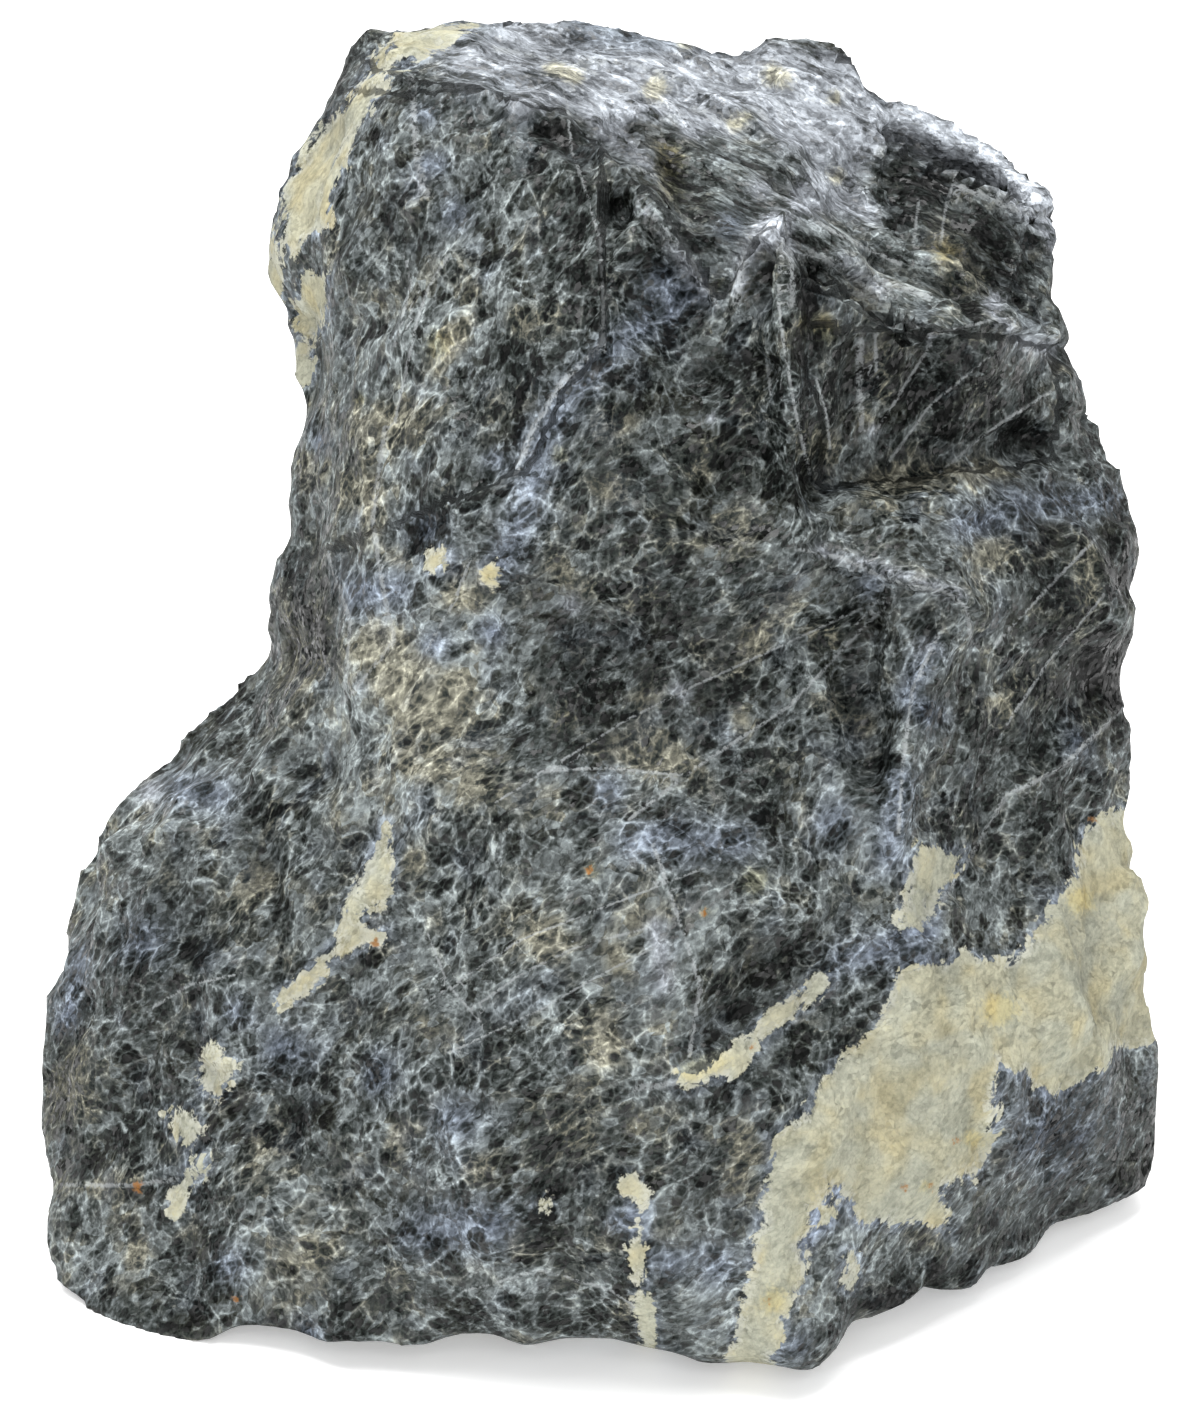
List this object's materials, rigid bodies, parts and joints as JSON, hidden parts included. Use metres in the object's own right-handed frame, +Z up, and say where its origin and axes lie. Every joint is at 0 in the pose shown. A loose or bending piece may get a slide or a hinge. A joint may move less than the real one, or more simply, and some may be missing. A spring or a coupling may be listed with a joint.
{
  "type": "rough sodalite stone",
  "caption": "Boot-shaped rough stone with broad fracture faces, a ledged right shoulder and a small flat spot to stand on.",
  "frame": {"origin": "under the middle of the stone, on the surface that it stands on", "axes": "+Z up, the broad front face towards -Y, the foot towards -X"},
  "size_m": [0.126, 0.1114, 0.1285],
  "materials": {
    "sodalite": "waxy to dull charcoal-blue rock with a net of fine pale veins and patches of cream feldspar"
  },
  "bodies": {
    "root": {"sodalite_stone": "sodalite"}
  },
  "joints": []
}
